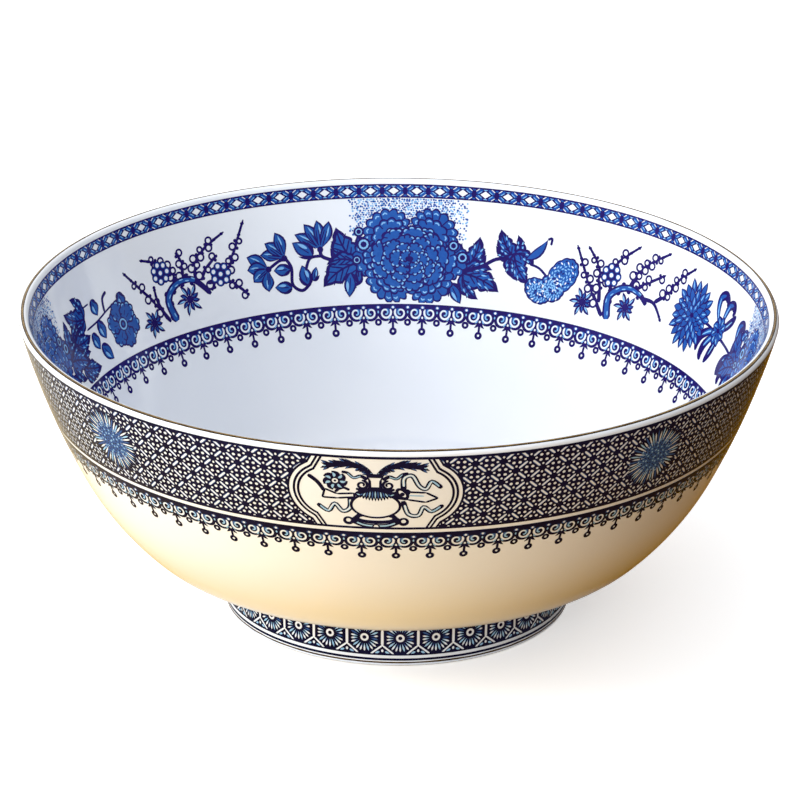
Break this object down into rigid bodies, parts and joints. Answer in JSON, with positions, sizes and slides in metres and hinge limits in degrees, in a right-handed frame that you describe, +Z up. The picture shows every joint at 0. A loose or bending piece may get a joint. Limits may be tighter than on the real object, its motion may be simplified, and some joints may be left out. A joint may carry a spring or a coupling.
{
  "type": "serving bowl",
  "caption": "Round porcelain serving bowl on a foot ring, with a gilded lip and blue printed borders, floral sprays inside and a diaper band outside.",
  "frame": {"origin": "centre of the foot ring's resting plane", "axes": "+Z up along the bowl's axis; -Y towards the front panel; the bowl is round, so X and Y differ only in where the printed panels fall"},
  "size_m": [0.2542, 0.2542, 0.1066],
  "materials": {
    "porcelain": "clear glaze over white porcelain",
    "gold": "burnished gold",
    "inner_cobalt": "cobalt blue print under glaze",
    "outer_cobalt": "dark cobalt print under glaze"
  },
  "bodies": {
    "root": {"bowl_wall": "porcelain", "foot_ring": "porcelain", "rim_gilding": "gold", "foot_gilding": "gold", "inner_lattice_border": "inner_cobalt", "inner_floral_frieze": "inner_cobalt", "inner_scroll_border": "inner_cobalt", "outer_diaper_band": "outer_cobalt", "outer_scroll_border": "outer_cobalt", "foot_honeycomb_band": "outer_cobalt"}
  },
  "joints": []
}
